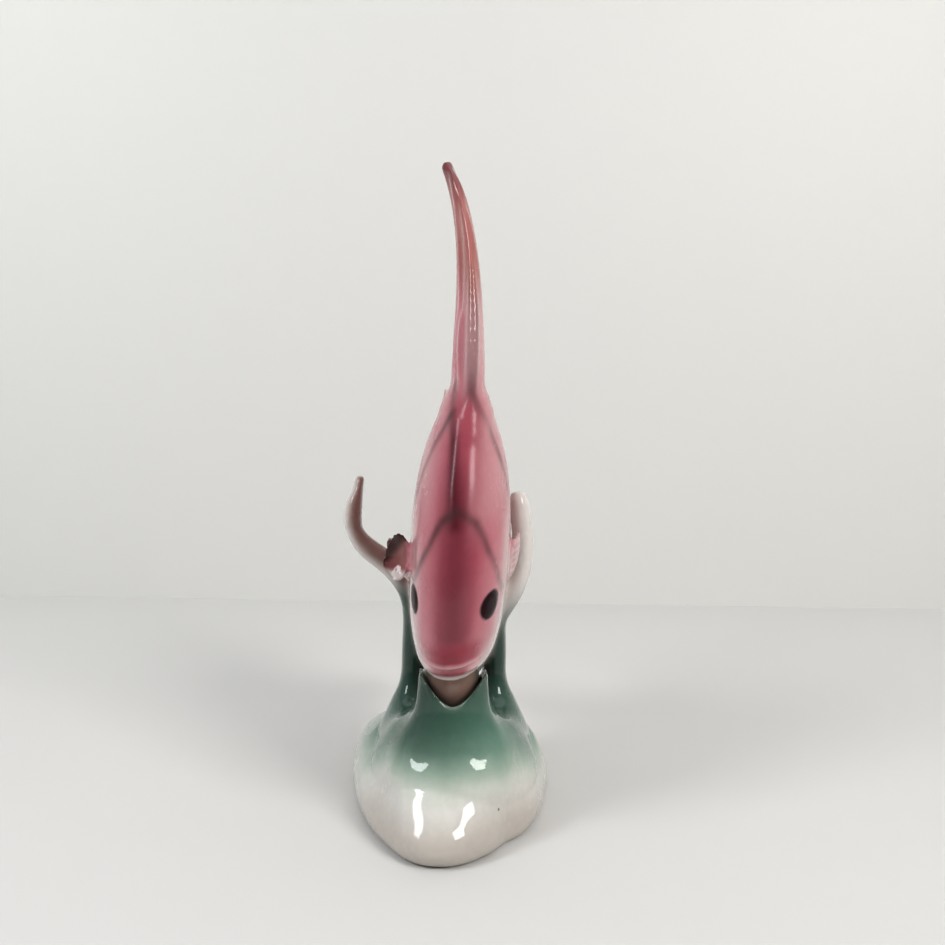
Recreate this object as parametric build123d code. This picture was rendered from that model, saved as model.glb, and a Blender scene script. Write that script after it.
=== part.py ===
from build123d import *
from math import cos, pi, radians, sin
import os

# Ceramic figurine of a diving angelfish, held by three water leaves on a rocky mound.
# Every piece is a casting of its own, luted into a shallow seat in the piece that carries it.
# Millimetres and degrees. The origin is the middle of the foot, on the table, with +Z up.
# The fish looks along -Y, and +X is its left side.

# Mound
base_width = 78.0
base_depth = 124.0
base_height = 25.0
base_wall = 5.0
base_lobe = 0.03
base_flare = 0.34
base_skew = 0.07
base_tuck = 0.1
base_foot_inset = 2.5
base_bulge_height = 6.0

# Rise in the middle of the mound, which the leaves grow from
rise_x = -1.0
rise_y = -6.0
rise_width = 66.0
rise_depth = 86.0
rise_height = 34.0

# Joints between the castings
seat_depth = 1.2

# Place and attitude of the fish
fish_y = 4.5
fish_z = 100.5
fish_pitch = 28.0
fish_roll = 2.0

# Fish body
body_fore = 64.0
body_aft = 58.0
body_top = 66.0
body_bottom = 60.0
body_width = 39.0
body_wall = 3.5
body_bend = 2.5
peduncle_height = 25.0
peduncle_width = 11.0
vent_diameter = 3.2
vent_u = 18.0

# Dorsal fin
dorsal_u = -6.0
dorsal_bury = 30.0
dorsal_rise = 66.0
dorsal_sweep = 57.0
dorsal_chord = 58.0
dorsal_tip_chord = 5.0
dorsal_thickness = 15.0
dorsal_tip_thickness = 3.5
dorsal_curl = 9.6
dorsal_twist = 4.0

# Anal fin
anal_u = -14.0
anal_bury = 26.0
anal_drop = 44.0
anal_sweep = 52.0
anal_chord = 44.0
anal_tip_chord = 5.0
anal_thickness = 9.0
anal_tip_thickness = 3.0
anal_curl = 6.0

# Tail fin
tail_bury = 12.0
tail_length = 48.0
tail_droop = 10.0
tail_root_chord = 22.0
tail_spread = 51.0
tail_thickness = 9.0
tail_edge_thickness = 3.0
tail_curl = 6.0
tail_hollow = 60.0

# Pectoral fins
pectoral_u = 21.0
pectoral_v = 3.0
pectoral_bury = 6.0
pectoral_length = 18.0
pectoral_root_chord = 10.0
pectoral_chord = 17.0
pectoral_thickness = 4.0
pectoral_edge_thickness = 2.2
right_pectoral_flare = 9.0
left_pectoral_flare = 4.0

# Pelvic fins
pelvic_u = 26.0
pelvic_spacing = 12.0
pelvic_bury = 8.0
pelvic_length = 20.0
pelvic_chord = 9.0
pelvic_tip_chord = 3.0
pelvic_thickness = 5.0
pelvic_tip_thickness = 2.4
pelvic_sweep = 50.0

# Front leaf
leaf_x = -1.5
leaf_ahead = 31.5
leaf_foot_width = 50.0
leaf_width = 25.0
leaf_foot_depth = 46.0
leaf_depth = 27.0
leaf_height = 63.0
leaf_foot_height = 17.0
leaf_wall = 3.2
leaf_rim_wall = 1.8
leaf_cup_floor = 38.0
leaf_notch = 14.0
leaf_rim_slope = 11.0

# Side leaves
frond_behind = 9.5
frond_foot_x = 23.0
frond_foot_chord = 34.0
frond_foot_thickness = 17.0
frond_chord = 18.0
frond_thickness = 9.5
frond_tip_chord = 8.0
frond_grip = 1.5
frond_waist_height = 58.0
right_frond_reach = 46.0
right_frond_knee = 92.5
right_frond_height = 127.0
right_tip_thickness = 3.6
left_frond_reach = 28.5
left_frond_knee = 78.0
left_frond_height = 122.5
left_tip_thickness = 7.5

forward = Vector(0, -cos(radians(fish_pitch)), -sin(radians(fish_pitch)))
upward = Vector(0, -sin(radians(fish_pitch)), cos(radians(fish_pitch)))
leftward = Vector(1, 0, 0) * cos(radians(fish_roll)) - upward * sin(radians(fish_roll))
fish = Plane((0, fish_y, fish_z), leftward, forward)
leaf_y = fish_y - leaf_ahead
frond_y = fish_y + frond_behind


def superellipse(share, power, root):
    """Falls from 1 at share 0 to 0 at share 1, between a straight line and a quarter circle."""
    return (1 - abs(share) ** power) ** (1 / root)


def body_half_width(u):
    if u >= 0:
        return body_width / 2 * superellipse(u / body_fore, 2.4, 1.8)
    rest = (body_width - peduncle_width) / 2
    return peduncle_width / 2 + rest * superellipse(u / body_aft, 1.7, 1.2)


def back_height(u):
    if u >= 0:
        return body_top * superellipse(u / body_fore, 1.6, 1.25)
    rest = body_top - peduncle_height / 2
    return peduncle_height / 2 + rest * superellipse(u / body_aft, 1.7, 1.1)


def belly_depth(u):
    if u >= 0:
        return body_bottom * superellipse(u / body_fore, 2.0, 1.5)
    rest = body_bottom - peduncle_height / 2
    return peduncle_height / 2 + rest * superellipse(u / body_aft, 1.7, 1.1)


def bend(u):
    """Sideways place of the fish's curved middle plane."""
    return -body_bend * (u / body_fore) ** 2


def fish_point(u, v, x=0.0):
    """A point u ahead of the fish's middle, v above its axis and x to its left."""
    return fish.from_local_coords(Vector(x + bend(u), v, u))


def body_solid(inset):
    """The fish's body, with its whole skin moved in by inset."""
    shares = (0.99, 0.96, 0.9, 0.8, 0.65, 0.45, 0.2, 0.0, -0.2, -0.4, -0.6, -0.8, -1.0)
    sections = []
    for share in shares:
        u = share * (body_fore if share > 0 else body_aft)
        top, bottom = back_height(u), belly_depth(u)
        half_width = body_half_width(u) - inset
        half_height = (top + bottom) / 2 - inset
        if min(half_width, half_height) < inset / 3 + 0.5:
            continue
        place = fish_point(u - inset * share, (top - bottom) / 2)
        sections.append(Plane(place, fish.x_dir, fish.z_dir) * Ellipse(half_width, half_height))
    return loft(sections)


def arc_of(start, middle, end, curl=0.0):
    """A path that leaves start towards middle and ends at end, curled to the fish's right near its tip."""
    side = fish.x_dir * -curl
    return lambda s: start * (1 - s) ** 2 + middle * (2 * s * (1 - s)) + end * s**2 + side * s**5


def blend(first, last, power=1.0):
    """A size that goes from first at the root to last at the tip."""
    return lambda s: last + (first - last) * (1 - s) ** power


def blade(path, chord, thickness, flat, twist=0.0, count=7):
    """A tapering blade of oval sections along path. flat is the way that its thin side faces."""
    sections = []
    step = 0.01
    for i in range(count):
        s = i / (count - 1)
        along = (path(min(s + step, 1)) - path(max(s - step, 0))).normalized()
        level = along.cross(flat).normalized()
        turn = radians(twist) * sin(pi * s)
        chord_way = level * cos(turn) + along.cross(level) * sin(turn)
        sections.append(Plane(path(s), chord_way, along) * Ellipse(chord(s) / 2, thickness(s) / 2))
    return loft(sections)


def squared(share):
    """Fills an ellipse out a little towards its corners."""
    return abs(share) ** 0.8 * (1 if share > 0 else -1)


def mound(inset, low):
    """The rocky mound as a filled solid, with its skin moved in by inset, standing at height low."""
    levels = (
        (low, 1 - 2 * base_foot_inset / base_width),
        (base_bulge_height, 1.0),
        (base_height * 0.55, 0.93),
        (base_height * 0.8, 0.77),
        (base_height * 0.94, 0.58),
        (base_height, 0.36),
    )
    sections = []
    for height, share in levels:
        drop = inset * height / base_height if height > low else 0
        ring = []
        for i in range(16):
            angle = 2 * pi * i / 16
            across, along = squared(cos(angle)), squared(sin(angle))
            lobes = 1 + base_lobe * (cos(3 * angle + 0.6) + 0.5 * cos(5 * angle + 2.2))
            lobes += base_skew * cos(angle - radians(165))
            lobes -= base_tuck * max(0, cos(angle - radians(50))) ** 4
            half_x = base_width / 2 * (1 + base_flare * along) * lobes * share - inset
            half_y = base_depth / 2 * lobes * share - inset
            ring.append((half_x * across, half_y * along))
        outline = Spline(*ring, periodic=True)
        sections.append(Plane.XY.offset(height - drop) * make_face(outline))
    return loft(sections) + rise(inset)


def rise(inset):
    """The hollow-sided rise on top of the mound, with its skin moved in by inset."""
    levels = ((0.4, 1.0), (0.52, 0.98), (0.66, 0.93), (0.8, 0.86), (0.93, 0.78), (1.0, 0.6))
    sections = []
    for level, share in levels:
        place = Plane((rise_x, rise_y, level * (rise_height - inset)))
        sections.append(place * Ellipse(share * rise_width / 2 - inset, share * rise_depth / 2 - inset))
    return loft(sections)


def dorsal_fin():
    root = fish_point(dorsal_u, back_height(dorsal_u) - dorsal_bury)
    middle = fish_point(dorsal_u - 0.22 * dorsal_sweep, body_top + 0.42 * dorsal_rise)
    tip = fish_point(dorsal_u - dorsal_sweep, body_top + dorsal_rise)
    return blade(
        arc_of(root, middle, tip, dorsal_curl),
        blend(dorsal_chord, dorsal_tip_chord, 0.9),
        blend(dorsal_thickness, dorsal_tip_thickness),
        fish.x_dir,
        dorsal_twist,
    )


def anal_fin():
    root = fish_point(anal_u, anal_bury - belly_depth(anal_u))
    middle = fish_point(anal_u - 0.3 * anal_sweep, -body_bottom - 0.45 * anal_drop)
    tip = fish_point(anal_u - anal_sweep, -body_bottom - anal_drop)
    return blade(
        arc_of(root, middle, tip, anal_curl),
        blend(anal_chord, anal_tip_chord, 0.9),
        blend(anal_thickness, anal_tip_thickness, 1.4),
        fish.x_dir,
    )


def tail_fin():
    root = fish_point(tail_bury - body_aft, 0)
    middle = fish_point(-body_aft - 0.4 * tail_length, 0)
    tip = fish_point(-body_aft - tail_length, -tail_droop)
    fan = blade(
        arc_of(root, middle, tip, tail_curl),
        blend(tail_root_chord, tail_spread),
        blend(tail_thickness, tail_edge_thickness),
        fish.x_dir,
    )
    hollow_place = fish_point(-body_aft - 0.85 * tail_length - tail_hollow, -tail_droop)
    hollow = Plane(hollow_place, fish.z_dir, fish.x_dir) * Cylinder(tail_hollow, 4 * tail_length)
    return fan - hollow


def pectoral_fin(side, flare):
    flank = body_half_width(pectoral_u)
    root = fish_point(pectoral_u, pectoral_v, side * (flank - pectoral_bury))
    middle = fish_point(pectoral_u - 0.3 * pectoral_length, pectoral_v + 1, side * (flank + 0.7 * flare))
    tip = fish_point(pectoral_u - pectoral_length, pectoral_v + 2, side * (flank + flare))
    flat = (tip - root).cross(fish.y_dir)
    return blade(
        arc_of(root, middle, tip),
        lambda s: pectoral_root_chord + (pectoral_chord - pectoral_root_chord) * sin(0.9 * pi * s**0.8),
        blend(pectoral_thickness, pectoral_edge_thickness),
        flat,
    )


def pelvic_fin(side):
    belly = belly_depth(pelvic_u)
    x = side * pelvic_spacing / 2
    root = fish_point(pelvic_u, pelvic_bury - belly, x)
    tip_u = pelvic_u - pelvic_length * sin(radians(pelvic_sweep))
    tip_v = -belly - pelvic_length * cos(radians(pelvic_sweep))
    middle = fish_point(pelvic_u - 2, (tip_v - belly) / 2, 1.1 * x)
    return blade(
        arc_of(root, middle, fish_point(tip_u, tip_v, 1.2 * x)),
        blend(pelvic_chord, pelvic_tip_chord),
        blend(pelvic_thickness, pelvic_tip_thickness),
        fish.x_dir,
    )


def front_leaf():
    """A cup-shaped leaf with a notched rim, which the fish's throat lies in."""

    def stem(wall, rim_wall, low):
        sections = []
        for share in (0.0, 0.12, 0.3, 0.6, 1.0):
            height = low + (leaf_height - low) * share
            rise = height / leaf_height
            flare = (1 - rise) ** 1.8
            inset = wall + (rim_wall - wall) * share
            width = leaf_width + (leaf_foot_width - leaf_width) * flare - 2 * inset
            depth = leaf_depth + (leaf_foot_depth - leaf_depth) * flare - 2 * inset
            section = RectangleRounded(width, depth, (0.3 + 0.17 * flare) * depth)
            sections.append(Plane((leaf_x, leaf_y + 3 * rise, height)) * section)
        return loft(sections)

    rim = Spline(
        (-leaf_width, leaf_height + leaf_notch / 2),
        (-leaf_width / 2, leaf_height - leaf_notch * 0.12),
        (0, leaf_height - leaf_notch),
        (leaf_width / 2, leaf_height - leaf_notch * 0.12),
        (leaf_width, leaf_height + leaf_notch / 2),
    )
    lid = Polyline(rim @ 1, (leaf_width, 2 * leaf_height), (-leaf_width, 2 * leaf_height), rim @ 0)
    front = Plane((leaf_x, leaf_y - leaf_depth / 2 + 3, 0), (1, 0, 0), (0, -1, 0))
    slope = Vector(0, cos(radians(leaf_rim_slope)), -sin(radians(leaf_rim_slope)))
    trim = extrude(front * make_face(rim + lid), base_depth, slope, both=True)
    foot = Pos(0, 0, leaf_foot_height / 2) * Box(2 * base_width, 2 * base_depth, leaf_foot_height)
    return stem(0, 0, base_height / 3) - stem(leaf_wall, leaf_rim_wall, leaf_cup_floor) - trim - foot


def frond(side, reach, knee, height, tip_thickness):
    """A strap leaf that climbs beside the fish, grips its flank and turns out at the top."""
    waist = fish.to_local_coords(Vector(0, frond_y, frond_waist_height))
    girth = (1 - (waist.Y / belly_depth(waist.Z)) ** 2) ** 0.5
    flank = body_half_width(waist.Z) * girth - frond_grip + frond_thickness / 2
    waist_x = fish_point(waist.Z, waist.Y, side * flank).X
    out_x = side * (reach - frond_thickness / 3)
    path = Spline(
        (side * frond_foot_x, frond_y - 4, base_height / 3),
        (waist_x, frond_y, 0.7 * frond_waist_height),
        (waist_x, frond_y, frond_waist_height),
        (waist_x + 0.06 * (out_x - waist_x), frond_y, 0.4 * frond_waist_height + 0.6 * knee),
        (waist_x + 0.52 * (out_x - waist_x), frond_y, knee),
        (out_x, frond_y, 0.67 * knee + 0.33 * height),
        (out_x, frond_y + 1, 0.3 * knee + 0.7 * height),
        (out_x - side * 2, frond_y + 2, height),
    )

    def taper(foot, mid, tip):
        return lambda s: mid + (foot - mid) * max(0, 1 - 2.5 * s) ** 2 + (tip - mid) * max(0, 2 * s - 1) ** 2

    return blade(
        path.position_at,
        taper(frond_foot_chord, frond_chord, frond_tip_chord),
        taper(frond_foot_thickness, frond_thickness, tip_thickness),
        Vector(-side, 0, 0),
        count=14,
    )


def vent():
    """Air hole through the chest, which a hollow casting needs in the kiln."""
    depth = belly_depth(vent_u)
    place = fish_point(vent_u, -depth)
    return Plane(place, fish.x_dir, fish.y_dir) * Cylinder(vent_diameter / 2, 4 * body_wall)


def castings():
    """Every piece by name, each cut to the seat that carries it."""
    body_seat = body_solid(seat_depth)
    mound_seat = mound(seat_depth, 0)
    fins = {
        "dorsal_fin": dorsal_fin(),
        "anal_fin": anal_fin(),
        "tail_fin": tail_fin(),
        "left_pectoral_fin": pectoral_fin(1, left_pectoral_flare),
        "right_pectoral_fin": pectoral_fin(-1, right_pectoral_flare),
        "left_pelvic_fin": pelvic_fin(1),
        "right_pelvic_fin": pelvic_fin(-1),
    }
    leaves = {
        "front_leaf": front_leaf(),
        "left_frond": frond(1, left_frond_reach, left_frond_knee, left_frond_height, left_tip_thickness),
        "right_frond": frond(
            -1, right_frond_reach, right_frond_knee, right_frond_height, right_tip_thickness
        ),
    }
    pieces = {name: fin - body_seat for name, fin in fins.items()}
    placed = []
    for name, leaf in leaves.items():
        pieces[name] = leaf - body_seat - mound_seat
        for other in placed:
            pieces[name] = pieces[name] - other
        placed.append(pieces[name])
    body = body_solid(0) - body_solid(body_wall) - vent()
    base = mound(0, 0) - mound(base_wall, -1)
    for name, piece in list(pieces.items()):
        body = body - piece
        if name in leaves:
            base = base - piece
    pieces["fish_body"] = body
    pieces["base"] = base
    return pieces


os.makedirs("parts", exist_ok=True)
for name, piece in castings().items():
    export_step(piece, f"parts/{name}.step")
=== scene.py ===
import math
from itertools import product

import bpy
import numpy as np
from mathutils import Matrix, Vector
from mathutils.bvhtree import BVHTree


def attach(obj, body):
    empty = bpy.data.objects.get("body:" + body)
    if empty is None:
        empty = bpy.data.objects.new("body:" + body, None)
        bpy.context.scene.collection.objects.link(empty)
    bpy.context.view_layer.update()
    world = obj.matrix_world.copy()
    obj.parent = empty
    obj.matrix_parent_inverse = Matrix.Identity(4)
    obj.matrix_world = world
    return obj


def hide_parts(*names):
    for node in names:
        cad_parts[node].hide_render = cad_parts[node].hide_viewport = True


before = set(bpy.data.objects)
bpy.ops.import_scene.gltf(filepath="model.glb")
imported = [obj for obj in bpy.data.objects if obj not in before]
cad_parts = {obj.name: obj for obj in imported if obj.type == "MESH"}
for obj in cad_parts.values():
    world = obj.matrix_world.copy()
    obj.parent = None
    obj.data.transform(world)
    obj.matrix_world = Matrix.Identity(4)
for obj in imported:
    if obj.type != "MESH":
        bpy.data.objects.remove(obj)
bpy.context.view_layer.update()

# A glazed angelfish that dives between water leaves on a white mound.
# The CAD castings are fused into one skin with soft glaze fillets, carved and painted,
# and then parted again into one closed mesh for each casting.
# Lengths are millimetres in the numpy code and metres in Blender.

MM_PER_M = 1000.0

# Castings, named as the CAD nodes
FISH = ("fish_body", "dorsal_fin", "anal_fin", "tail_fin", "left_pectoral_fin", "right_pectoral_fin",
        "left_pelvic_fin", "right_pelvic_fin")
LEAVES = ("front_leaf", "left_frond", "right_frond")
GROUND = ("base",) + LEAVES
NODES = GROUND + FISH

# Attitude and place of the fish, as in the CAD model
PITCH, ROLL = math.radians(28.0), math.radians(2.0)
FISH_AT = np.array([0.0, 4.5, 100.5])
FORWARD = np.array([0.0, -math.cos(PITCH), -math.sin(PITCH)])
UPWARD = np.array([0.0, -math.sin(PITCH), math.cos(PITCH)])
LEFT = np.array([math.cos(ROLL), 0.0, 0.0]) - UPWARD * math.sin(ROLL)
UP = np.cross(FORWARD, LEFT)
BODY_FORE, BODY_BEND = 64.0, 2.5

# Kiln vent under the chest, in the fish's frame, and the plug that it is carved into
VENT = (18.0, -56.6, 0.0)
PLUG_RISE, PLUG_RADIUS = 1.5, 2.6

# Chin: its depth below the lip where it is cut back and where it is painted, and the cut
CHIN_CUT, CHIN_PAINT, CHIN_CUT_DEPTH = 9.2, 8.8, 3.0

# Throat under the chin: an ellipsoid in the fish's frame, and its mean size
THROAT_AT, THROAT_HALF, THROAT_SIZE = (45.0, -29.0, 0.5), (11.5, 15.0, 10.6), 9.5

# Eyes: places along and up the head, and the two half axes of their oval
LEFT_EYE, RIGHT_EYE = (47.2, 11.0), (40.4, 6.2)
EYE_RISE, EYE_AHEAD = (-4.8, 3.1), (4.1, 4.2)

# Cupped fan of the right pectoral fin: middle, the way it opens, half sizes, cup and half wall
FAN_AT, FAN_FACING = np.array([-22.6, -17.0, 99.0]), np.array([-0.42, -0.9, 0.12])
FAN_WIDE, FAN_TALL, FAN_CUP, FAN_HALF_WALL = 5.6, 8.4, 3.0, 0.9
PECTORAL_TOP = FAN_AT[2] + 6.5

# Rounded tops of the side leaves, and the right one's end: x, z and radius up to its tip
LEFT_FROND_TOP, RIGHT_FROND_TOP = 123.0, 127.2
FROND_END = ((-43.8, 108.0, 3.2), (-43.3, 115.5, 2.6), (-42.2, 121.0, 1.9), (-41.4, 125.8, 1.5))
FROND_END_Y, FROND_END_SLOPE, FROND_END_FLATNESS = 15.0, 0.06, 2.4

# Hollow in the mound's edge
DENT_AT, DENT_RADIUS = (29.8, -51.5), 14.0

# How far the glaze rounds each kind of joint
DORSAL_FILLET, TAIL_FILLET, PECTORAL_FILLET, PELVIC_FILLET, THROAT_FILLET = 9.0, 8.0, 2.5, 3.0, 3.0
FROND_FILLET, LEAF_FILLET, MOUND_FILLET = 8.0, 6.0, 16.0
SEAT_IN_LEAF, SEAT_IN_FRONDS = 1.0, 4.0

# Grid of the distance field, and how far from a casting its field is needed
COARSE, FINE = 3.0, (0.75)
REACH = {name: 26.0 if name in GROUND else 12.0 for name in NODES}
REACH_MARGIN, MEETING = 2.0, 9.0


def fish_point(u, v, x):
    """World place of a point given along, up and to the left in the fish's frame."""
    return FISH_AT + FORWARD * u + UP * v + LEFT * x


def fish_coords(p):
    """Places along, up and to the left of the fish, with the bend of its body taken out."""
    d = p - FISH_AT
    u = d @ FORWARD
    return u, d @ UP, d @ LEFT + BODY_BEND * (u / BODY_FORE) ** 2


def paint_side(u, x):
    """Sideways place on the fish, from the slightly skewed middle line of its paint."""
    return x + 1.3 - 2.2 * np.clip((u - 38) / 25, 0, 1)


def lip_line(px):
    """Height of the arched mouth."""
    return -4.2 + 0.12 * px - 0.04 * px**2


def below_chin(v, px, drop):
    """How far a point lies under the chin, which is drop below the lip."""
    return lip_line(px) - drop + 0.02 * px**2 - v


def smoothstep(a, b, t):
    """0 at a, 1 at b and smooth between them."""
    t = np.clip((t - a) / (b - a), 0, 1)
    return t * t * (3 - 2 * t)


def band(t, start, full, fade, end):
    """1 from full to fade, and smooth to 0 at start and end."""
    return smoothstep(start, full, t) * smoothstep(end, fade, t)


def bell(t, width):
    return np.exp(-((t / width) ** 2))


def soft_min(a, b, k):
    """Union of two distances, rounded over k."""
    h = np.clip(0.5 + 0.5 * (b - a) / k, 0, 1)
    return b * (1 - h) + a * h - k * h * (1 - h)


def soft_max(a, b, k):
    """What two distances share, rounded over k."""
    return -soft_min(-a, -b, k)


# Castings

class Casting:
    """The mesh of one CAD node, with the distance to it and which side of it a point is on."""

    def __init__(self, name):
        self.load(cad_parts[name].data)
        if name == "fish_body":
            self.t = self.t[self.outside()]
        self.tree = BVHTree.FromPolygons(self.v.tolist(), self.t.tolist())
        self.face = self.face_normals()
        self.find_point_normals()
        self.find_edge_normals()

    def load(self, mesh):
        """Points and triangles, with the points that coincide joined."""
        raw = np.empty(len(mesh.vertices) * 3)
        mesh.vertices.foreach_get("co", raw)
        mesh.calc_loop_triangles()
        tris = np.empty(len(mesh.loop_triangles) * 3, dtype=np.int32)
        mesh.loop_triangles.foreach_get("vertices", tris)
        raw = raw.reshape(-1, 3) * MM_PER_M
        _, first, place = np.unique(np.round(raw, 3), axis=0, return_index=True, return_inverse=True)
        tris = place.reshape(-1)[tris.reshape(-1, 3)]
        proper = (tris[:, 0] != tris[:, 1]) & (tris[:, 1] != tris[:, 2]) & (tris[:, 2] != tris[:, 0])
        self.v, self.t = raw[first], tris[proper]
        self.low, self.high = raw.min(0), raw.max(0)

    def face_normals(self):
        a, b, c = (self.v[self.t[:, k]] for k in range(3))
        face = np.cross(b - a, c - a)
        return face / np.maximum(np.linalg.norm(face, axis=1, keepdims=True), 1e-12)

    def find_point_normals(self):
        """Mean of the faces around each point, weighted by their angles there."""
        corners = self.v[self.t]
        self.point = np.zeros_like(self.v)
        for k in range(3):
            e, g = corners[:, (k + 1) % 3] - corners[:, k], corners[:, (k + 2) % 3] - corners[:, k]
            size = np.linalg.norm(e, axis=1) * np.linalg.norm(g, axis=1)
            turn = np.arccos(np.clip((e * g).sum(1) / np.maximum(size, 1e-12), -1, 1))
            np.add.at(self.point, self.t[:, k], self.face * turn[:, None])

    def find_edge_normals(self):
        """Sum of the faces at each edge. Edge k of a triangle lies across from its point k."""
        edges = np.stack([self.t[:, [1, 2]], self.t[:, [2, 0]], self.t[:, [0, 1]]], 1)
        _, number = np.unique(np.sort(edges.reshape(-1, 2), 1), axis=0, return_inverse=True)
        self.side = number.reshape(-1, 3)
        self.edge = np.zeros((self.side.max() + 1, 3))
        for k in range(3):
            np.add.at(self.edge, self.side[:, k], self.face)

    def outside(self):
        """The faces on the outside of the hollow fish, without its vent."""
        axis_back, axis_front, vent_reach = -30, 35, 4
        middle = self.v[self.t].mean(1)
        fu, fv, fx = fish_coords(middle)
        out = middle - FISH_AT - np.clip(fu, axis_back, axis_front)[:, None] * FORWARD
        facing = (self.face_normals() * out).sum(1) / np.linalg.norm(out, axis=1)
        vent = (np.hypot(fu - VENT[0], fx - VENT[2]) < vent_reach) & (fv < -40)
        return facing > np.where(vent, 0.4, 0.0)

    def around(self, points, reach):
        """Which points lie in the casting's box, grown by reach."""
        return np.all((points > self.low - reach) & (points < self.high + reach), axis=1)

    def near(self, points, reach):
        """Unsigned distance within reach, with the nearest spots and triangles."""
        far = np.full(len(points), reach)
        spot = np.zeros((len(points), 3))
        tri = np.full(len(points), -1)
        find = self.tree.find_nearest
        for i, p in enumerate(points.tolist()):
            at, _, index, d = find(p, reach)
            if at is not None:
                far[i], spot[i], tri[i] = d, at, index
        return far, spot, tri

    def signed(self, points, reach):
        """Distance to the casting, negative inside it."""
        far, spot, tri = self.near(points, reach)
        hit = np.nonzero(tri >= 0)[0]
        tri, at = tri[hit], spot[hit]
        a, b, c = (self.v[self.t[tri, k]] for k in range(3))
        area = np.maximum(np.linalg.norm(np.cross(b - a, c - a), axis=1), 1e-12)
        opposite = ((b, c), (c, a), (a, b))
        share = np.stack([np.linalg.norm(np.cross(q - at, r - at), axis=1) / area for q, r in opposite], 1)
        order = np.argsort(share, axis=1)
        row = np.arange(len(tri))
        on_edge = share[row, order[:, 0]] < 1e-3
        on_point = share[row, order[:, 1]] < 1e-3
        out = self.face[tri].copy()
        out[on_edge] = self.edge[self.side[tri[on_edge], order[on_edge, 0]]]
        out[on_point] = self.point[self.t[tri[on_point], order[on_point, 2]]]
        side = ((points[hit] - at) * out).sum(1)
        far[hit] = np.where(side < 0, -far[hit], far[hit])
        return far


# Fused form: d holds the distance to each casting

def frond_end(points):
    """The evenly tapering end of the right side leaf."""
    p = points.copy()
    depth = FROND_END_Y + FROND_END_SLOPE * (p[:, 2] - FROND_END[0][1])
    p[:, 1] = (p[:, 1] - depth) / FROND_END_FLATNESS
    best = np.full(len(p), 1e3)
    for (xa, za, ra), (xb, zb, rb) in zip(FROND_END, FROND_END[1:]):
        run = np.array([xb - xa, 0.0, zb - za])
        from_a = p - np.array([xa, 0.0, za])
        t = np.clip(from_a @ run / (run @ run), 0, 1)
        best = np.minimum(best, np.linalg.norm(from_a - t[:, None] * run, axis=1) - ra - t * (rb - ra))
    return best


def ground_form(points, d):
    """The mound with the hollow in its edge, and the leaves that rise from it."""
    x, y, z = points.T
    left_frond = soft_max(d["left_frond"], z - LEFT_FROND_TOP, 6.0)
    right_frond = soft_min(d["right_frond"], frond_end(points), 1.5)
    right_frond = soft_max(right_frond, z - RIGHT_FROND_TOP, 3.0)
    leaves = soft_min(d["front_leaf"], soft_min(left_frond, right_frond, FROND_FILLET), LEAF_FILLET)
    dent = np.hypot(x - DENT_AT[0], y - DENT_AT[1]) - DENT_RADIUS
    return soft_min(soft_max(d["base"], -dent, 4.0), leaves, MOUND_FILLET)


def dorsal_form(points, d):
    """The dorsal fin, set back on the right of its front, above the fold."""
    x, y, z = points.T
    step = band(z, 187.0, 195.0, 212.0, 236.0) * smoothstep(1.5, -1.0, x) * smoothstep(-14.0, -22.0, y)
    return d["dorsal_fin"] + 1.6 * step


def fan(points):
    """The cupped fan of the right pectoral fin, with its lobed edge."""
    facing = FAN_FACING / np.linalg.norm(FAN_FACING)
    across = np.cross(facing, (0, 0, 1.0))
    across = across / np.linalg.norm(across)
    p = points - FAN_AT
    a, b, w = p @ across / FAN_WIDE, p @ np.cross(across, facing) / FAN_TALL, p @ facing
    r, turn = np.hypot(a, b), np.arctan2(b, a)
    edge = 1 + 0.07 * np.cos(4 * turn + 0.8) + 0.16 * bell(turn - 1.9, 0.35)
    w = w - FAN_CUP * r**2 + 1.2 + 0.5 * np.cos(6 * turn) * r
    return soft_max(np.abs(w) - FAN_HALF_WALL, (r - edge) * FAN_WIDE, 1.2)


def right_pectoral_form(points, d):
    """The right pectoral fin, low behind its fan."""
    blade = soft_max(d["right_pectoral_fin"], points[:, 2] - PECTORAL_TOP, 4.0)
    return soft_min(blade, fan(points), 2.0)


def fish_form(points, d):
    """The fish with its chin cut back, its fins, its throat and the plug of its vent."""
    fu, fv, fx = fish_coords(points)
    side = paint_side(fu, fx)
    chin_cut = smoothstep(0.0, 2.5, below_chin(fv, side, CHIN_CUT)) * smoothstep(26.0, 40.0, fu)
    fish = d["fish_body"] + CHIN_CUT_DEPTH * chin_cut
    fish = soft_min(fish, dorsal_form(points, d), DORSAL_FILLET)
    fish = soft_min(fish, np.minimum(d["anal_fin"], d["tail_fin"]), TAIL_FILLET)
    pectorals = np.minimum(d["left_pectoral_fin"], right_pectoral_form(points, d))
    fish = soft_min(fish, pectorals, PECTORAL_FILLET)
    fish = soft_min(fish, np.minimum(d["left_pelvic_fin"], d["right_pelvic_fin"]), PELVIC_FILLET)
    throat = np.linalg.norm((np.stack([fu, fv, side], 1) - THROAT_AT) / THROAT_HALF, axis=1) - 1
    fish = soft_min(fish, THROAT_SIZE * throat, THROAT_FILLET)
    plug_at = fish_point(VENT[0], VENT[1] + PLUG_RISE, VENT[2])
    return np.minimum(fish, np.linalg.norm(points - plug_at, axis=1) - PLUG_RADIUS)


def fused(points, d):
    """The whole figurine: the fish sits crisply in the front leaf and softly in the side leaves."""
    leaf_near = d["front_leaf"] < np.minimum(d["left_frond"], d["right_frond"])
    seat = np.where(leaf_near, SEAT_IN_LEAF, SEAT_IN_FRONDS)
    return soft_min(ground_form(points, d), fish_form(points, d), seat)


# Field on a grid, and the skin at its zero

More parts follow.
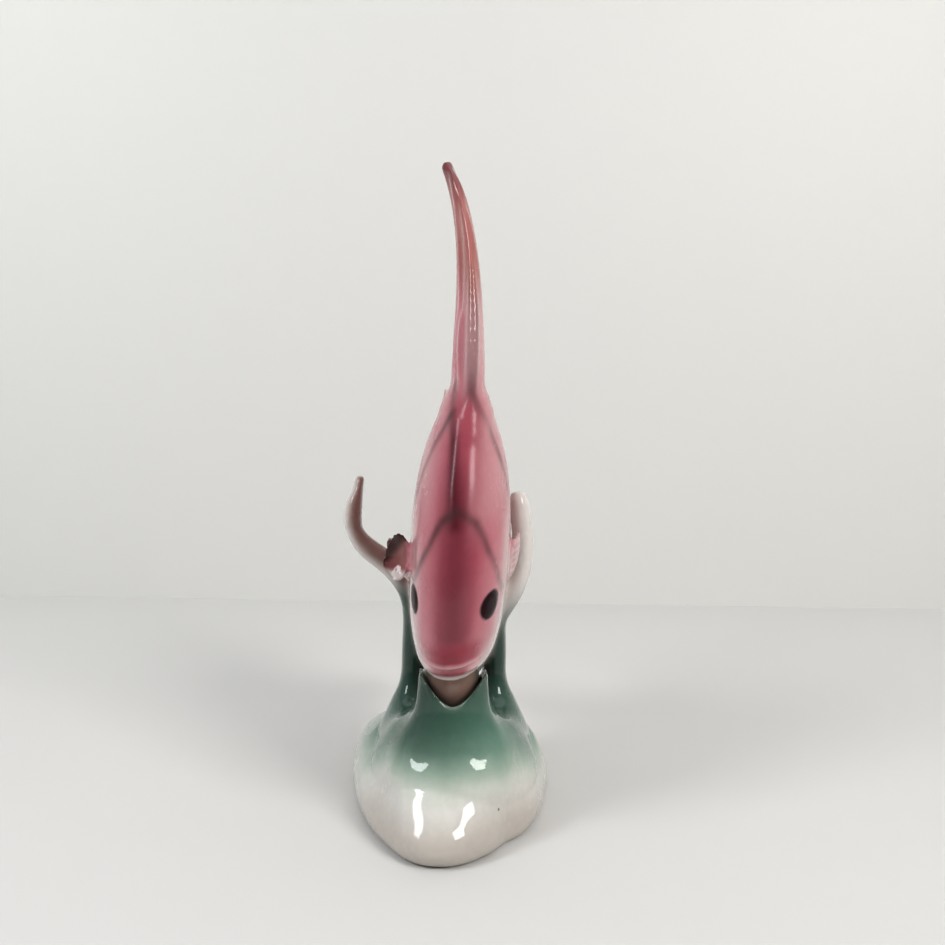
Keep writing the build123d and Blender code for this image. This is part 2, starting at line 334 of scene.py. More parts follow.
def lattice(counts):
    """Every place in a grid, one row each."""
    return np.stack(np.meshgrid(*[np.arange(c) for c in counts], indexing="ij"), -1).reshape(-1, 3)


def cell_corners(counts):
    """For each of a cell's eight corners, the slices that pick it in every cell of a grid."""
    cells = [c - 1 for c in counts]
    return {c: tuple(slice(o, n + o) for o, n in zip(c, cells)) for c in product((0, 1), repeat=3)}


def sample(points, wanted):
    """Signed distances to the castings, each one only at the points that want it."""
    d = {}
    for name, casting in CASTINGS.items():
        use = wanted[name] & casting.around(points, REACH[name])
        d[name] = np.full(len(points), REACH[name])
        d[name][use] = casting.signed(points[use], REACH[name])
    return d


def wanted_castings(d, near):
    """Which castings can shape the skin at each fine point, from the coarse point near it."""
    ground = np.min([d[name] for name in GROUND], axis=0)[near]
    fish = np.min([d[name] for name in FISH], axis=0)[near]
    wanted = {}
    for name in NODES:
        mine, other = (ground, fish) if name in GROUND else (fish, ground)
        wanted[name] = (mine < other + MEETING) & (d[name][near] < mine + REACH[name] - REACH_MARGIN)
    return wanted


def field_grid():
    """The fused field on the fine grid, worked out only in the coarse cells near the skin."""
    low = np.min([c.low for c in CASTINGS.values()], axis=0) - 3 * COARSE
    high = np.max([c.high for c in CASTINGS.values()], axis=0) + 3 * COARSE
    low[2] = -2 * COARSE - 0.4 * FINE
    counts = np.ceil((high - low) / COARSE).astype(int) + 1
    points = low + lattice(counts) * COARSE
    d = sample(points, {name: True for name in NODES})
    rough = fused(points, d).reshape(counts)
    at_corners = [rough[corner] for corner in cell_corners(counts).values()]
    busy = np.argwhere(np.min(np.abs(at_corners), axis=0) < 0.9 * COARSE)
    ratio = int(round(COARSE / FINE))
    dims = (counts - 1) * ratio + 1
    field = np.repeat(np.repeat(np.repeat(rough, ratio, 0), ratio, 1), ratio, 2)
    field = np.ascontiguousarray(field[:dims[0], :dims[1], :dims[2]])
    places = (busy[:, None, :] * ratio + lattice([ratio + 1] * 3)[None]).reshape(-1, 3)
    flat = np.unique(np.ravel_multi_index(places.T, dims))
    fine = np.stack(np.unravel_index(flat, dims), 1)
    near = np.ravel_multi_index(np.minimum((fine + ratio // 2) // ratio, counts - 1).T, counts)
    points = low + fine * FINE
    field.reshape(-1)[flat] = fused(points, sample(points, wanted_castings(d, near)))
    return field, low


def surface(field, low):
    """Quads through the zero of the field, one point in each cell that it crosses."""
    inside = field < 0
    corners = cell_corners(field.shape)
    total = sum(inside[pick].astype(np.int8) for pick in corners.values())
    cells = np.argwhere((total > 0) & (total < 8))
    number = np.full(total.shape, -1)
    number[tuple(cells.T)] = np.arange(len(cells))
    value = {c: field[tuple((cells + np.array(c)).T)] for c in corners}
    at, count = np.zeros((len(cells), 3)), np.zeros(len(cells))
    for a, axis in product(corners, range(3)):
        if a[axis] == 0:
            b = tuple(1 if m == axis else a[m] for m in range(3))
            fa, fb = value[a], value[b]
            cut = (fa < 0) != (fb < 0)
            t = np.where(cut, fa / np.where(cut, fa - fb, 1), 0)
            spot = np.array(a)[None] + t[:, None] * (np.array(b) - np.array(a))[None]
            at += spot * cut[:, None]
            count += cut
    verts = low + (cells + at / count[:, None]) * FINE
    return verts, np.concatenate([crossings(inside, corners, number, axis) for axis in range(3)])


def crossings(inside, corners, number, axis):
    """A quad around each grid edge along one axis that the skin crosses."""
    p, q = [m for m in range(3) if m != axis]
    first = inside[corners[0, 0, 0]]
    ahead = inside[corners[tuple(int(m == axis) for m in range(3))]]
    edge = np.argwhere(first != ahead)
    edge = edge[(edge[:, p] > 0) & (edge[:, q] > 0)]
    ring = []
    for back_p, back_q in ((1, 1), (0, 1), (0, 0), (1, 0)):
        cell = edge.copy()
        cell[:, p] -= back_p
        cell[:, q] -= back_q
        ring.append(number[tuple(cell.T)])
    ring = np.stack(ring, 1)
    turn = first[tuple(edge.T)] == (axis != 1)
    return np.where(turn[:, None], ring, ring[:, ::-1])


def largest(verts, quads):
    """Keeps the one connected skin, without specks apart from it."""
    group = np.arange(len(verts))
    while True:
        before = group.copy()
        low = group[quads].min(1)
        for k in range(4):
            np.minimum.at(group, quads[:, k], low)
        group = group[group]
        if np.array_equal(group, before):
            break
    keep = group == np.argmax(np.bincount(group))
    place = np.cumsum(keep) - 1
    return verts[keep], place[quads[keep[quads[:, 0]]]]


class Skin:
    """The fused mesh of quads, with its neighbours, normals and smoothing."""

    def __init__(self, verts, quads):
        self.v, self.q = verts, quads
        e = np.concatenate([quads[:, [0, 1]], quads[:, [1, 2]], quads[:, [2, 3]], quads[:, [3, 0]]])
        e = np.unique(np.sort(e, axis=1), axis=0)
        self.ends = np.concatenate([e[:, 0], e[:, 1]])
        self.others = np.concatenate([e[:, 1], e[:, 0]])
        self.count = np.maximum(np.bincount(self.ends, minlength=len(verts)), 1)

    def mean(self, field):
        """Mean of a field over each point's neighbours."""
        if field.ndim == 1:
            return np.bincount(self.ends, field[self.others], len(self.v)) / self.count
        return np.stack([self.mean(field[:, k]) for k in range(field.shape[1])], 1)

    def relax(self, rounds):
        """Smooths the skin and swells it again, so that it doesn't shrink."""
        for _ in range(rounds):
            self.v = self.v + 0.5 * (self.mean(self.v) - self.v)
            self.v = self.v - 0.51 * (self.mean(self.v) - self.v)

    def normals(self):
        a = self.v[self.q[:, 2]] - self.v[self.q[:, 0]]
        b = self.v[self.q[:, 3]] - self.v[self.q[:, 1]]
        face = np.cross(a, b)
        n = np.zeros_like(self.v)
        for k, c in product(range(4), range(3)):
            n[:, c] += np.bincount(self.q[:, k], face[:, c], len(self.v))
        return n / np.maximum(np.linalg.norm(n, axis=1, keepdims=True), 1e-12)

    def spread(self, field, rounds):
        """Blurs a field over the skin."""
        for _ in range(rounds):
            field = 0.5 * field + 0.5 * self.mean(field)
        return field


def casting_distances():
    """Distance of each point of the skin to each casting, within reach."""
    reach = 14.0
    dist = np.full((len(NODES), len(skin.v)), reach)
    for k, name in enumerate(NODES):
        close = CASTINGS[name].around(skin.v, reach)
        dist[k, close] = CASTINGS[name].near(skin.v[close], reach)[0]
    fin = NODES.index("right_pectoral_fin")
    dist[fin] = np.minimum(dist[fin], np.abs(fan(skin.v)))
    return dist


def of_node(*names):
    """Which points of the skin belong to the named castings."""
    return np.isin(label, [NODES.index(n) for n in names])


CASTINGS = {name: Casting(name) for name in NODES}
skin = Skin(*largest(*surface(*field_grid())))
skin.relax(8)
dist = casting_distances()
label = np.argmin(skin.spread(dist.T, 2), axis=1)
off_body = dist[NODES.index("fish_body")]
is_fish = of_node(*FISH)

# Places of the skin in the fish's frame: along, up, to the left, and from the paint's middle
u, v, x = fish_coords(skin.v)
px = paint_side(u, x)


# Carving: how far each feature lifts the skin

def eye_oval(at, side):
    """Place within an eye on one side of the head: 1 in its middle, 0 at its edge."""
    du, dv = u - at[0], v - at[1]
    det = EYE_RISE[0] * EYE_AHEAD[1] - EYE_RISE[1] * EYE_AHEAD[0]
    a = (du * EYE_AHEAD[1] - dv * EYE_AHEAD[0]) / det
    b = (EYE_RISE[0] * dv - EYE_RISE[1] * du) / det
    return np.where((px * side > 3) & of_node("fish_body"), 1 - np.hypot(a, b), -1)


head = of_node("fish_body") & (u > 40) & (np.abs(px) < 15)
mouth = v - lip_line(px)
along_lips = smoothstep(11.5, 8.0, np.abs(px)) * head
eye = np.maximum(eye_oval(LEFT_EYE, 1), eye_oval(RIGHT_EYE, -1))
normal = skin.normals()

# Fin rays: the way across them in the fish's frame, and their pitch
RAYS = {"dorsal_fin": (0.78, 0.62, 6.0), "anal_fin": (-0.7, 0.7, 5.5), "tail_fin": (0.0, 1.0, 5.0)}


def mouth_lift():
    """Upper lip, the groove under it and the lower lip."""
    return along_lips * (0.7 * bell(mouth, 0.9) - 0.5 * bell(mouth + 1.7, 0.8) + 0.3 * bell(mouth + 4.2, 1.4))


def ray_lift():
    """Low rays on the outer part of the dorsal, anal and tail fins."""
    lift = np.zeros(len(skin.v))
    for name, (across_u, across_v, pitch) in RAYS.items():
        on = of_node(name)
        across = (u - u[on].mean()) * across_u + (v - v[on].mean()) * across_v
        lift += 0.3 * on * smoothstep(2.0, 14.0, off_body) * np.cos(2 * math.pi * across / pitch)
    return lift


def crest_lift():
    """Ridge along the forehead and back, which runs to the right of the middle."""
    along = of_node("fish_body") * band(u, -12.0, -2.0, 30.0, 46.0) * (v > 20)
    return 0.4 * along * bell(px + 2.4 * smoothstep(46.0, 30.0, u), 1.8)


def fold_lift():
    """Fold low on the right of the dorsal fin's front."""
    low = of_node("dorsal_fin") * bell(skin.v[:, 2] - 178, 11)
    return 0.9 * low * bell(x + 4.2, 1.2) * (normal @ FORWARD > 0)


def vent_lift():
    """The hole of the kiln vent."""
    return -2.2 * smoothstep(2.0, 1.2, np.linalg.norm(skin.v - fish_point(*VENT), axis=1))


eye_lift = 0.4 * smoothstep(0.0, 0.5, eye)
lift = mouth_lift() + eye_lift + ray_lift() + crest_lift() + fold_lift() + vent_lift()
skin.v = skin.v + normal * lift[:, None]
skin.relax(2)
normal = skin.normals()
x_w, y_w, z_w = skin.v.T


# Painting

WHITE = np.array([0.74, 0.70, 0.67])
PALE = np.array([0.66, 0.42, 0.43])
PINK = np.array([0.54, 0.20, 0.235])
ROSE = np.array([0.36, 0.075, 0.105])
MAROON = np.array([0.105, 0.014, 0.024])
RUST = np.array([0.40, 0.155, 0.13])
BROWN = np.array([0.075, 0.03, 0.033])
LIP = np.array([0.30, 0.022, 0.045])
TAUPE = np.array([0.25, 0.15, 0.125])
GREY = np.array([0.45, 0.40, 0.38])
# Painted shade under the chin: grey-green at the sides, warmer in the middle
THROAT_SHADE, WARM_THROAT_SHADE = np.array([0.15, 0.15, 0.12]), np.array([0.36, 0.24, 0.20])
FAN_RED, FAN_DARK = np.array([0.30, 0.13, 0.12]), np.array([0.055, 0.018, 0.015])
SAGE, RIM_GREEN = np.array([0.20, 0.27, 0.21]), np.array([0.30, 0.36, 0.30])

# Glaze of the mound and the leaves by height, from the foot to the leaves' rim
SHADES = ((3.0, (0.54, 0.50, 0.455)), (12.0, (0.66, 0.65, 0.61)), (17.0, (0.60, 0.63, 0.57)),
          (22.0, (0.34, 0.43, 0.36)), (28.0, (0.14, 0.23, 0.18)), (36.0, (0.075, 0.15, 0.113)),
          (46.0, (0.05, 0.105, 0.08)), (56.0, (0.022, 0.052, 0.038)))

# Runs of the green glaze: how many around the mound, and their turn
RUNS = ((3, 0.4), (7, 1.9), (13, 4.0), (23, 2.2), (37, 0.9))

# Brush strokes along, up and to the left in the fish's frame
RIDGE = ((-4, 69, -2.6), (8.5, 63, -2.9), (28, 50.5, -2.4), (37, 42.5, -1.2), (40, 38.5, -0.8))
EYE_STRIPE = ((37, 42.5, 0), (38, 38.7, 5.9), (40, 29.5, 10.3), (38.5, 16, 14.4), (36, 10, 16))
DORSAL_BAR = ((-22, 107, 0), (-12, 95, 2), (6, 72, 2.2), (8, 64, 4.8))
SIDE_BAR = ((8, 64, 4.8), (8.5, 60, 7.2), (10.5, 49, 12.8), (10, 36, 16), (5, 10, 19), (2, -12, 19))
TAIL_BAR = ((-33, 52, 3), (-40, 22, 8), (-42, 0, 9), (-40, -22, 8), (-32, -52, 3))


def mix(a, b, t):
    t = np.clip(t, 0, 1)[:, None]
    return a * (1 - t) + b * t


def stroke(points, width, mirror=True, sideways=1.0):
    """How much of a soft brush stroke falls on the skin. With sideways 0 it goes right through."""
    best = np.full(len(skin.v), 1e3)
    here = np.stack([u, v, px * sideways], 1)
    for side in (1, -1) if mirror else (1,):
        pts = [np.array([a, b, c * side * sideways]) for a, b, c in points]
        for p, q in zip(pts, pts[1:]):
            run = q - p
            t = np.clip((here - p) @ run / (run @ run), 0, 1)
            best = np.minimum(best, np.linalg.norm(here - p - t[:, None] * run, axis=1))
    return bell(best, width)


def body_paint():
    """White belly and pink back, with a rose front and a dark face deepened by painted shade, pale flanks
    partly painted sheen, and one side of the dorsal fin paled by painted light.
    """
    side_on = np.abs(normal @ LEFT)
    paint = mix(WHITE, PALE, 0.35 + 0.65 * smoothstep(-18.0, 20.0, v))
    # Pink wherever the surface doesn't face squarely sideways, so the flat flanks stay pale: painted light on
    # the flanks.
    paint = mix(paint, PINK, smoothstep(1.02, 0.9, side_on) * smoothstep(-18.0, 0.0, v))
    paint = mix(paint, PINK, 0.8 * smoothstep(16.0, 40.0, v))
    # The face-on front is deepened to rose: the glaze's rose with painted shade where the front faces away
    # from the side lamps.
    front = smoothstep(0.95, 0.5, side_on) * smoothstep(-9.0, -2.0, v) * smoothstep(-30.0, 10.0, u)
    paint = mix(paint, ROSE, 0.9 * front)
    # Dark band down the middle of the face: partly the maroon glaze, partly a painted dark reflection.
    face = smoothstep(8.5, 0.5, np.abs(px + 0.6)) * smoothstep(16.0, 36.0, u) * smoothstep(0.0, 8.0, v)
    paint = mix(paint, MAROON, 0.62 * face)
    # Pale band on the upper flanks, wider on the left side that faces the brighter lamp: partly the pale
    # glaze, partly painted sheen.
    from_ridge = np.where(px > 0, px, -px - 5)
    paint = mix(paint, PALE, 0.4 * smoothstep(1.5, 9.0, from_ridge) * band(v, 30.0, 44.0, 64.0, 78.0))
    # The left side of the dorsal fin, which faces the brighter lamp, is painted pale: painted light.
    lit_fin_side = of_node("dorsal_fin") * smoothstep(-3.0, 1.0, px) * band(v, 66.0, 80.0, 98.0, 112.0)
    return mix(paint, PALE, 0.85 * lit_fin_side)


def mouth_paint(paint):
    """Red lips with a painted highlight along their upper edge, a white chin and painted shade under the
    chin.
    """
    upper_lip = smoothstep(11.5, 6.5, np.abs(px)) * band(mouth, 0.4, 2.0, 6.0, 11.0) * head
    lower_lip = smoothstep(8.0, 4.5, np.abs(px + 1)) * bell(mouth + 4.0, 1.9) * head
    paint = mix(paint, LIP, 0.75 * upper_lip)
    paint = mix(paint, LIP, 0.85 * lower_lip)
    # Pale line along the bead of the upper lip: a painted highlight.
    paint = mix(paint, PALE, 0.9 * along_lips * bell(mouth, 0.85))
    chin = below_chin(v, px, CHIN_PAINT)
    paint = mix(paint, WHITE, 0.75 * smoothstep(-3.0, -0.6, chin) * (u > 30))
    # Under the chin the body is painted dark: painted shade in the hollow beneath the chin.
    throat = mix(THROAT_SHADE, WARM_THROAT_SHADE, smoothstep(10.0, 6.5, np.abs(px - 0.8)))
    under_chin_shade = smoothstep(0.4, 2.0, chin) * smoothstep(30.0, 42.0, u) * smoothstep(-60.0, -54.0, v)
    return mix(paint, throat, under_chin_shade)


def stripe_paint(paint):
    """Maroon ridge, and the brown bars through the eyes, over the sides and before the tail."""
    paint = mix(paint, MAROON, 0.95 * stroke(RIDGE, 2.4, mirror=False))
    paint = mix(paint, BROWN, 0.82 * stroke(EYE_STRIPE, 1.9))
    paint = mix(paint, BROWN, 0.75 * stroke(DORSAL_BAR, 2.0, mirror=False))
    paint = mix(paint, BROWN, 0.75 * stroke(SIDE_BAR, 2.0))
    return mix(paint, BROWN, 0.5 * stroke(TAIL_BAR, 2.4, mirror=False, sideways=0.0))


def fin_paint(paint):
    """Rust and maroon towards the dorsal fin's tip, and pale ends on the fins behind and below."""
    on_dorsal = of_node("dorsal_fin")
    paint = mix(paint, RUST, 0.8 * smoothstep(88.0, 108.0, v) * on_dorsal)
    paint = mix(paint, MAROON, 0.7 * smoothstep(120.0, 134.0, v) * on_dorsal)
    pale_fins = of_node("tail_fin", "anal_fin", "left_pelvic_fin", "right_pelvic_fin")
    return mix(paint, PALE, 0.6 * pale_fins * smoothstep(4.0, 14.0, off_body))


def pectoral_paint(paint):
    """Pale left fin with taupe rays, and the right one's red fan with a dark cup and a white foot."""
    on_left = of_node("left_pectoral_fin") * smoothstep(0.6, 2.0, off_body)
    rays = smoothstep(0.2, 0.9, np.cos((v - 0.35 * u) * 2.1))
    paint = mix(paint, PALE, 0.9 * on_left)
    paint = mix(paint, TAUPE, 0.5 * on_left * rays)
    on_fan = of_node("right_pectoral_fin") * smoothstep(0.8, 2.0, off_body)
    up_and_out = (skin.v - FAN_AT) @ np.array([-0.8, 0.0, 0.6])
    cup = smoothstep(0.5, 4.0, up_and_out) * smoothstep(0.3, -0.3, normal[:, 1])
    paint = mix(paint, FAN_RED, 0.9 * on_fan)
    paint = mix(paint, FAN_DARK, on_fan * cup)
    return mix(paint, WHITE, 0.9 * on_fan * smoothstep(-3.5, -6.0, z_w - FAN_AT[2]))


def ground_paint():
    """White mound whose glaze turns green up the leaves, with pale tops on the side leaves, and painted light
    and shade on the leaf front and the left leaf's top.
    """
    around = np.arctan2(y_w + 6, x_w)
    runs = sum(np.sin(n * around + turn) / n**0.5 for n, turn in RUNS)
    level = z_w + 1.1 * runs * smoothstep(12.0, 20.0, z_w) + 5.0 - 11.0 * smoothstep(-6.0, -38.0, y_w)
    heights = [height for height, _ in SHADES]
    paint = np.stack([np.interp(level, heights, [shade[k] for _, shade in SHADES]) for k in range(3)], 1)
    # The leaf front is painted lighter towards the right and darker towards the left: painted light and
    # shade.
    leaf_side_light = np.clip(x_w / 12, -1, 1) * smoothstep(26.0, 38.0, z_w) * smoothstep(-18.0, -30.0, y_w)
    paint = paint * (1 + 0.3 * leaf_side_light)[:, None]
    paint = mix(paint, SAGE, 0.3 * smoothstep(4.0, 22.0, y_w) * smoothstep(24.0, 30.0, z_w))
    outer = smoothstep(-0.1, 0.75, np.where(x_w < 0, -normal[:, 0], normal[:, 0]) - 0.35 * normal[:, 2])
    right_top = of_node("right_frond") * smoothstep(76.0, 90.0, z_w - 0.4 * (x_w + 25))
    paint = mix(paint, mix(TAUPE, WHITE, 0.85 * outer), right_top)
    left_top = of_node("left_frond") * smoothstep(62.0, 88.0, z_w)
    # Grey on the faces that don't turn outward: painted shade on the white top.
    paint = mix(paint, mix(WHITE, GREY, 0.25 * (1 - outer)), left_top)
    rim = of_node("front_leaf") * smoothstep(0.55, 0.9, normal[:, 2]) * (z_w > 46)
    return mix(paint, RIM_GREEN, rim)


def glaze_coat():
    """Roughness and weight of the glaze: crisp on fins and leaves, softer on the back, thin on the eyes."""
    back = of_node("fish_body", "dorsal_fin") * smoothstep(-30.0, -5.0, u) * band(v, 14.0, 34.0, 74.0, 84.0)
    roughness = skin.spread(np.where(is_fish, 0.07, 0.035) + 0.2 * back, 6)
    weight = skin.spread(0.9 - 0.4 * back, 6)
    return roughness, np.minimum(weight, 0.9 - 0.82 * smoothstep(-0.05, 0.1, eye))


fish_paint = pectoral_paint(fin_paint(stripe_paint(mouth_paint(body_paint()))))
paint = np.where(is_fish[:, None], fish_paint, ground_paint())
paint = np.where(is_fish[:, None], skin.spread(paint, 1), skin.spread(paint, 12))
sheen, coat = glaze_coat()


# Parting into closed pieces

def face_labels():
    """The casting that most corners of each face belong to."""
    votes = label[skin.q]
    owner = votes[:, 0].copy()
    best = np.zeros(len(owner), int)
    for k in range(4):
        same = (votes == votes[:, [k]]).sum(1)
        owner = np.where(same > best, votes[:, k], owner)
        best = np.maximum(best, same)
    return owner


def face_patches(owner):
    """A number for each connected patch of faces of one casting."""
    group = np.arange(len(owner))
    while True:
        before = group.copy()
        low = np.full((len(NODES), len(skin.v)), len(owner))
        for k in range(4):
            np.minimum.at(low, (owner, skin.q[:, k]), group)
        for k in range(4):
            group = np.minimum(group, low[owner, skin.q[:, k]])
        group = group[group]
        if np.array_equal(group, before):
            return group


def join_strays(owner):
    """Gives each stray patch of faces to the casting around it."""
    rounds = 6
    for _ in range(rounds):
        group = face_patches(owner)
        size = np.bincount(group, minlength=len(owner))[group]
        main = np.zeros(len(NODES), int)
        np.maximum.at(main, owner, size)
        stray = size < main[owner]
        if not stray.any():
            break
        vote = np.zeros((len(skin.v), len(NODES)))
        for k in range(4):
            np.add.at(vote, (skin.q[~stray, k], owner[~stray]), 1)
        total = sum(vote[skin.q[:, k]] for k in range(4))
        owner = np.where(stray, np.argmax(total, 1), owner)
    return owner


def boundary_loops(quads):
    """Rings of points around the open edges, in the order that closes them."""
    half = {}
    for q in quads:
        for a, b in zip(q, q[1:] + q[:1]):
            half[(a, b)] = True
    after = {}
    for a, b in half:
        if (b, a) not in half:
            after.setdefault(b, []).append(a)
    loops = []
    while after:
        start = next(iter(after))
        loop, here = [], start
        while here in after:
            loop.append(here)
            there = after[here].pop()
            if not after[here]:
                del after[here]
            here = there
            if here == start:
                break
        if len(loop) > 2:
            loops.append(loop)
    return loops


def make_piece(name, faces):
    """One casting's part of the skin, with a sunk fan of triangles over each open edge."""
    cap_sink = 0.3
    quads = skin.q[faces]
    used = np.unique(quads)
    place = np.full(len(skin.v), -1)
    place[used] = np.arange(len(used))
    polys = [tuple(q) for q in place[quads]]
    loops = boundary_loops(quads.tolist())
    source = np.concatenate([used, [loop[0] for loop in loops]]).astype(int)
    verts, paints, eyes = skin.v[source], paint[source], eye[source]
    for cap, loop in enumerate(loops, start=len(used)):
        verts[cap] = skin.v[loop].mean(0) - cap_sink * normal[loop].mean(0)
        paints[cap] = paint[loop].mean(0)
        eyes[cap] = -1.0
        for a, b in zip(loop, loop[1:] + loop[:1]):
            polys.append((place[a], place[b], cap))
    mesh = bpy.data.meshes.new(name)
    mesh.from_pydata(verts / MM_PER_M, [], polys)
    mesh.polygons.foreach_set("use_smooth", [True] * len(polys))
    glaze = mesh.color_attributes.new("Glaze", "FLOAT_COLOR", "POINT")
    rgba = np.concatenate([paints, np.ones((len(paints), 1))], 1)
    glaze.data.foreach_set("color", rgba.astype(np.float32).ravel())
    for title, values in (("Eye", eyes), ("Sheen", sheen[source]), ("Coat", coat[source])):
        mark = mesh.attributes.new(title, "FLOAT", "POINT")
        mark.data.foreach_set("value", values.astype(np.float32))
    mesh.update()
    mesh.normals_split_custom_set_from_vertices(normal[source].tolist())
    obj = bpy.data.objects.new(name + "_glazed", mesh)
    bpy.context.collection.objects.link(obj)
    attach(obj, "root")
    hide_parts(name)
    return obj


# Glaze

def glaze_material(name, speck, eye_colour=None):
    """Painted glaze with clouds, grain and a clear coat, and dark specks or eyes where asked for."""
    cloud_tint, grain_tint, speck_tint = (0.62, 0.55, 0.50, 1), (0.55, 0.5, 0.48, 1), (0.08, 0.05, 0.035, 1)
    mat = bpy.data.materials.new(name)
    mat.use_nodes = True
    nodes, links = mat.node_tree.nodes, mat.node_tree.links
    shader = nodes["Principled BSDF"]
    coords = nodes.new("ShaderNodeTexCoord")

    def attribute(title):
        a = nodes.new("ShaderNodeAttribute")
        a.attribute_name = title
        return a.outputs

    def noise(scale, detail=3.0):
        n = nodes.new("ShaderNodeTexNoise")
        n.inputs["Scale"].default_value = scale
        n.inputs["Detail"].default_value = detail
        links.new(coords.outputs["Object"], n.inputs["Vector"])
        return n.outputs["Fac"]

    def ramp(source, low, high, out_low, out_high):
        r = nodes.new("ShaderNodeMapRange")
        r.inputs["From Min"].default_value = low
        r.inputs["From Max"].default_value = high
        r.inputs["To Min"].default_value = out_low
        r.inputs["To Max"].default_value = out_high
        links.new(source, r.inputs["Value"])
        return r.outputs["Result"]

    def blend(kind, factor, first, tint):
        m = nodes.new("ShaderNodeMix")
        m.data_type = "RGBA"
        m.blend_type = kind
        links.new(factor, m.inputs["Factor"])
        links.new(first, m.inputs[6])
        m.inputs[7].default_value = tint
        return m.outputs[2]

    cloud = ramp(noise(45.0), 0.3, 0.7, 0.0, 0.14)
    tone = blend("MULTIPLY", cloud, attribute("Glaze")["Color"], cloud_tint)
    grain = ramp(noise(420.0, 2.0), 0.35, 0.65, 0.0, 0.08)
    tone = blend("MULTIPLY", grain, tone, grain_tint)
    if speck:
        dots = nodes.new("ShaderNodeTexVoronoi")
        dots.inputs["Scale"].default_value = 75.0
        links.new(coords.outputs["Object"], dots.inputs["Vector"])
        tone = blend("MIX", ramp(dots.outputs["Distance"], 0.03, speck, 0.75, 0.0), tone, speck_tint)
    if eye_colour:
        tone = blend("MIX", ramp(attribute("Eye")["Fac"], -0.08, 0.1, 0.0, 1.0), tone, eye_colour)
    links.new(tone, shader.inputs["Base Color"])
    links.new(ramp(noise(90.0), 0.3, 0.7, 0.16, 0.3), shader.inputs["Roughness"])
    bump = nodes.new("ShaderNodeBump")
    bump.inputs["Strength"].default_value = 0.12
    bump.inputs["Distance"].default_value = 0.0006
    links.new(noise(130.0, 2.0), bump.inputs["Height"])
    links.new(bump.outputs["Normal"], shader.inputs["Normal"])
    links.new(bump.outputs["Normal"], shader.inputs["Coat Normal"])
    links.new(attribute("Coat")["Fac"], shader.inputs["Coat Weight"])
    links.new(attribute("Sheen")["Fac"], shader.inputs["Coat Roughness"])
    shader.inputs["Coat IOR"].default_value = 1.46
    shader.inputs["Specular IOR Level"].default_value = 0.06
    return mat


MATERIALS = {
    "white_glaze": glaze_material("white_glaze", 0.05),
    "green_glaze": glaze_material("green_glaze", 0.045),
    "rose_glaze": glaze_material("rose_glaze", 0.0, (0.017, 0.003, 0.005, 1)),
}
owner = join_strays(face_labels())
for k, name in enumerate(NODES):
    piece = make_piece(name, np.nonzero(owner == k)[0])
    slot = "rose_glaze" if name in FISH else "green_glaze" if name in LEAVES else "white_glaze"
    piece.data.materials.append(MATERIALS[slot])


# Stage, light and camera, in metres

def stage_material(name, tone, patch):
    """Plain pale surface with faint patches."""
    mat = bpy.data.materials.new(name)
    mat.use_nodes = True
    nodes, links = mat.node_tree.nodes, mat.node_tree.links
    shader = nodes["Principled BSDF"]
    noise = nodes.new("ShaderNodeTexNoise")
    noise.inputs["Scale"].default_value = patch
    ramp = nodes.new("ShaderNodeValToRGB")
    ramp.color_ramp.elements[0].color = (*[c * 0.94 for c in tone], 1)
    ramp.color_ramp.elements[1].color = (*tone, 1)
    links.new(noise.outputs["Fac"], ramp.inputs["Fac"])
    links.new(ramp.outputs["Color"], shader.inputs["Base Color"])
    shader.inputs["Roughness"].default_value = 0.55
    return mat


def sheet(name, corners, mat):
    mesh = bpy.data.meshes.new(name)
    mesh.from_pydata(corners, [], [(0, 1, 2, 3)])
    mesh.materials.append(mat)
    obj = bpy.data.objects.new(name, mesh)
    bpy.context.collection.objects.link(obj)


def area_light(name, at, aim, size, power, tint=(1, 1, 1)):
    light = bpy.data.lights.new(name, "AREA")
    light.shape = "RECTANGLE"
    light.size, light.size_y = size
    light.energy = power
    light.color = tint
    obj = bpy.data.objects.new(name, light)
    obj.location = at
    obj.rotation_euler = (Vector(aim) - Vector(at)).to_track_quat("-Z", "Y").to_euler()
    bpy.context.collection.objects.link(obj)


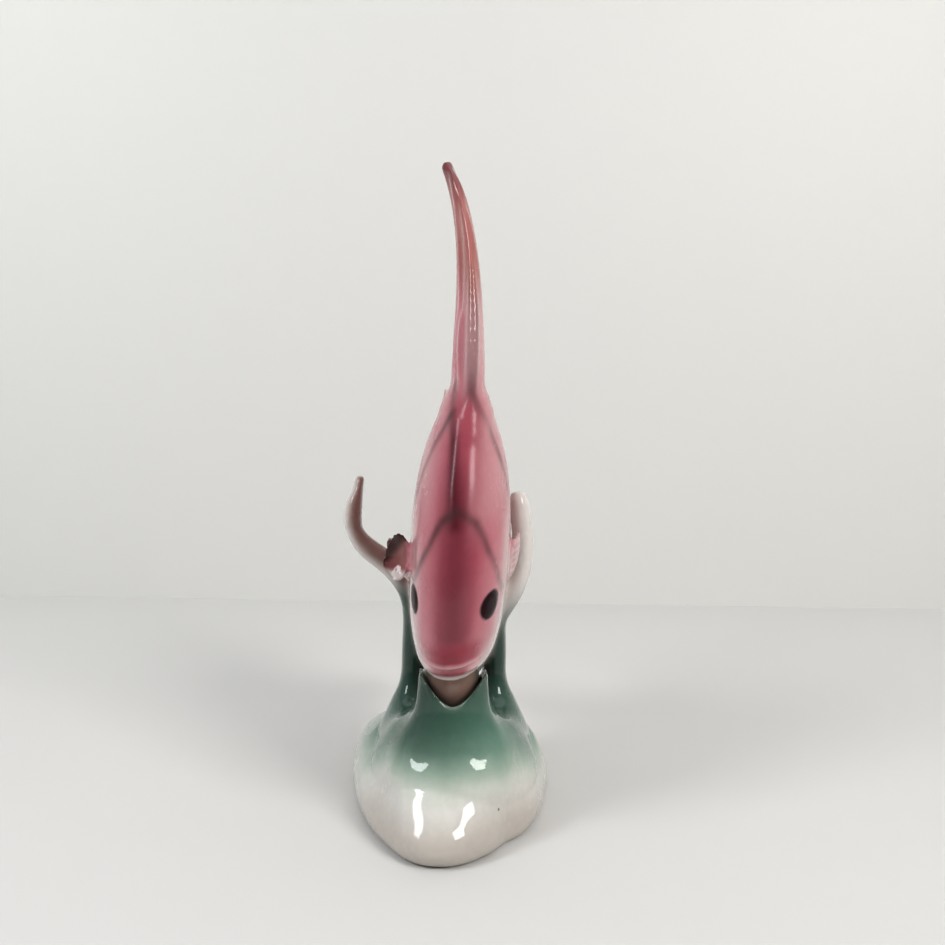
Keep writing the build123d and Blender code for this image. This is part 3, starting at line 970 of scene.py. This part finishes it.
def studio_sky():
    """Soft sky: dim in front, brighter above and behind."""
    world = bpy.data.worlds.new("studio")
    world.use_nodes = True
    nodes, links = world.node_tree.nodes, world.node_tree.links
    way = nodes.new("ShaderNodeTexCoord")
    parts = nodes.new("ShaderNodeSeparateXYZ")
    fade = nodes.new("ShaderNodeMapRange")
    fade.inputs["From Min"].default_value = -1.0
    fade.inputs["From Max"].default_value = 0.4
    fade.inputs["To Min"].default_value = 0.12
    fade.inputs["To Max"].default_value = 0.62
    links.new(way.outputs["Generated"], parts.inputs["Vector"])
    links.new(parts.outputs["Y"], fade.inputs["Value"])
    nodes["Background"].inputs["Color"].default_value = (0.95, 0.96, 1.0, 1)
    links.new(fade.outputs["Result"], nodes["Background"].inputs["Strength"])
    return world


def photo_camera():
    """The photo's view: head on, a little from above and leaning slightly."""
    focal_pixels, photo_pixels, sensor = 905, 945, 36.0
    at = (0, -0.353, 0.161)
    yaw, tilt, lean = math.radians(0.75), math.radians(5.0), math.radians(1.0)
    camera = bpy.data.objects.new("camera", bpy.data.cameras.new("camera"))
    camera.data.sensor_width = sensor
    camera.data.lens = sensor * focal_pixels / photo_pixels
    camera.data.clip_start = 0.01
    ahead = Vector((math.sin(yaw) * math.cos(tilt), math.cos(yaw) * math.cos(tilt), -math.sin(tilt)))
    level = Vector((math.cos(yaw), -math.sin(yaw), 0))
    upright = level.cross(ahead)
    side = level * math.cos(lean) + upright * math.sin(lean)
    top = upright * math.cos(lean) - level * math.sin(lean)
    turn = Matrix((side, top, -ahead)).transposed()
    camera.matrix_world = Matrix.Translation(at) @ turn.to_4x4()
    bpy.context.collection.objects.link(camera)
    return camera


half, wall_y, wall_top = 3.0, 0.335, 2.2
floor = [(-half, -half, 0), (half, -half, 0), (half, half, 0), (-half, half, 0)]
wall = [(-half, wall_y, 0), (half, wall_y, 0), (half, wall_y, wall_top), (-half, wall_y, wall_top)]
sheet("floor", floor, stage_material("floor", (0.66, 0.655, 0.64), 4.0))
sheet("backdrop", wall, stage_material("backdrop", (0.76, 0.755, 0.73), 3.0))

area_light("right_window", (0.68, -0.68, 0.80), (0, 0, 0.08), (0.40, 0.44), 7.0, (1.0, 0.985, 0.96))
area_light("left_window", (-0.75, -0.45, 0.75), (0, 0, 0.08), (0.30, 0.48), 4.6, (0.96, 0.98, 1.0))
area_light("overhead", (0.1, 0.0, 1.8), (0, 0, 0.1), (1.6, 1.6), 6.5)

scene = bpy.context.scene
scene.world = studio_sky()
scene.view_settings.view_transform = "Standard"
scene.view_settings.exposure = 0.25
scene.view_settings.gamma = 0.86
bpy.context.scene.camera = photo_camera()
